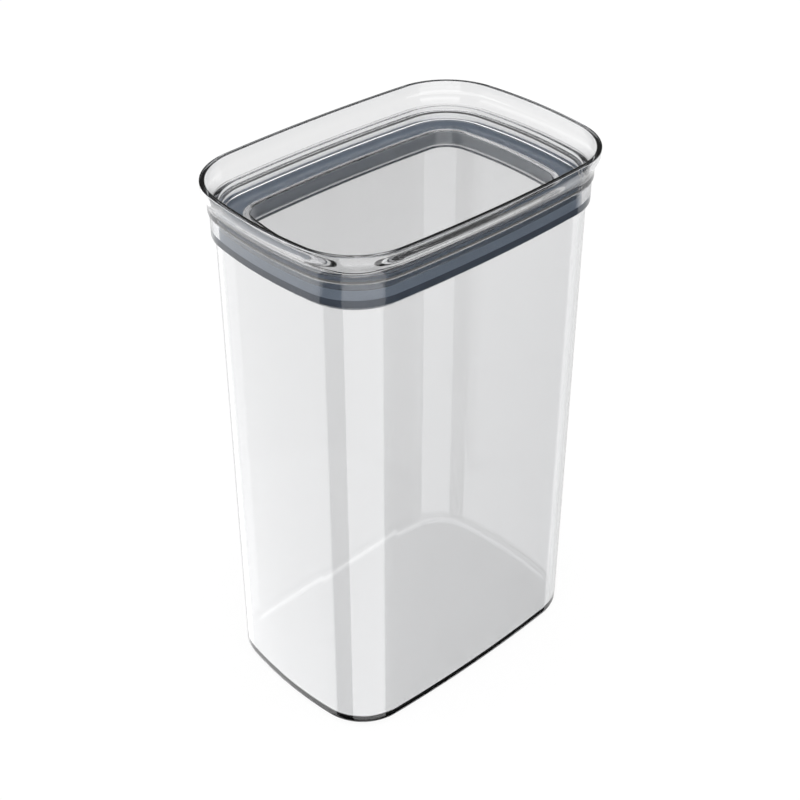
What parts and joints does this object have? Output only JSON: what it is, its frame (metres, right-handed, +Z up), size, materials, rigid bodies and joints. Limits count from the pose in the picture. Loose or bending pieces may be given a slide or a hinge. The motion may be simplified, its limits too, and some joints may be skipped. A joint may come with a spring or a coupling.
{
  "type": "airtight storage container",
  "caption": "Tall clear bow-sided storage box with a press-on smoke-clear lid, flared stacking rim and a silicone seal ring.",
  "frame": {"origin": "middle of the flat underside that the box stands on", "axes": "+Z up, along the height; X along the long side of the rim; Y across it"},
  "size_m": [0.16, 0.1116, 0.249],
  "materials": {
    "clear_body": "polished clear plastic",
    "smoke_lid": "polished smoke-tinted clear plastic",
    "seal": "satin blue-grey silicone"
  },
  "bodies": {
    "box": {"container": "clear_body"},
    "lid": {"lid": "smoke_lid", "seal_ring": "seal"}
  },
  "joints": [
    {"name": "lid_lift", "type": "slide", "parent": "box", "child": "lid", "axis": [0, 0, 1], "range_m": [0, 0.08]}
  ]
}
